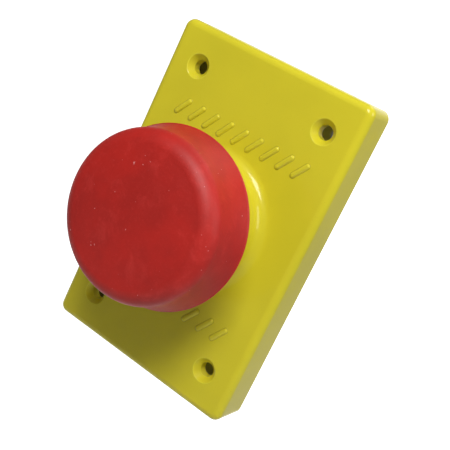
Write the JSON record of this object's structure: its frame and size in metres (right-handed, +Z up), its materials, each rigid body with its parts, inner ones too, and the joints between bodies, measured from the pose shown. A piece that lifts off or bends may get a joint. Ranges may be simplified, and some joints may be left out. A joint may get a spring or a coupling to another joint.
{
  "type": "emergency stop button",
  "caption": "Push-pull mushroom emergency stop button on a rectangular cast cover for a wall box, with two contact blocks behind it.",
  "frame": {"origin": "centre of the cover's back rim plane, on the axis of the button", "axes": "+Z up the cover's long side, +Y into the wall box; the button's face looks towards -Y; +X to the right as seen from the front"},
  "size_m": [0.0742, 0.0775, 0.1142],
  "materials": {
    "yellow_enamel": "gloss powder coat over die-cast metal",
    "red_plastic": "satin moulded, fine grain",
    "black_rubber": "matte elastomer",
    "grey_foam": "closed-cell foam rubber",
    "black_plastic": "moulded, matte",
    "grey_plastic": "moulded, matte",
    "red_cover_plastic": "moulded, matte",
    "green_cover_plastic": "moulded, matte",
    "ivory_plastic": "moulded, satin",
    "zinc_steel": "bright zinc plate",
    "die_cast_zinc": "dull cast and machined",
    "spring_steel": "drawn wire",
    "green_steel": "green dyed plating",
    "brass": "turned and stamped",
    "copper": "stamped copper strip",
    "silver": "silver contact alloy"
  },
  "bodies": {
    "cover_assembly": {"cover": "yellow_enamel", "cover_gasket": "grey_foam", "ground_screw": "green_steel", "ground_washer": "brass", "operator_bushing": "die_cast_zinc", "locating_pin": "zinc_steel", "bushing_gasket": "black_rubber", "ring_washer": "black_plastic", "ring_nut": "die_cast_zinc", "wiper_seal": "black_rubber", "stem_o_ring": "black_rubber", "detent_spring": "spring_steel", "actuator_housing": "black_plastic", "housing_screws": "zinc_steel", "nc_block_housing": "grey_plastic", "nc_block_cover": "red_cover_plastic", "nc_terminals": "brass", "nc_return_spring": "spring_steel", "no_block_housing": "grey_plastic", "no_block_cover": "green_cover_plastic", "no_terminals": "brass", "no_return_spring": "spring_steel", "fixed_tips": "silver", "terminal_clamps": "zinc_steel", "terminal_screws": "zinc_steel", "block_screws": "zinc_steel"},
    "button": {"mushroom_cap": "red_plastic", "cap_insert": "brass", "cap_lock_washer": "zinc_steel", "stem": "zinc_steel", "actuator_plate": "zinc_steel", "e_clip": "spring_steel"},
    "nc_contact": {"nc_plunger": "ivory_plastic", "nc_bridge": "copper", "nc_moving_tips": "silver", "nc_contact_spring": "spring_steel"},
    "no_contact": {"no_plunger": "ivory_plastic", "no_bridge": "copper", "no_moving_tips": "silver", "no_contact_spring": "spring_steel"}
  },
  "joints": [
    {"name": "button_push", "type": "slide", "parent": "cover_assembly", "child": "button", "axis": [0, 1, 0], "range_m": [0, 0.0065], "deforming": ["detent_spring", "nc_return_spring", "no_return_spring"]},
    {"name": "nc_plunger_slide", "type": "slide", "parent": "cover_assembly", "child": "nc_contact", "axis": [0, 1, 0], "range_m": [0, 0.0065]},
    {"name": "no_plunger_slide", "type": "slide", "parent": "cover_assembly", "child": "no_contact", "axis": [0, 1, 0], "range_m": [0, 0.0065]}
  ],
  "couplings": [
    {"joint": "nc_plunger_slide", "follows": "button_push", "ratio": 1},
    {"joint": "no_plunger_slide", "follows": "button_push", "ratio": 1}
  ]
}
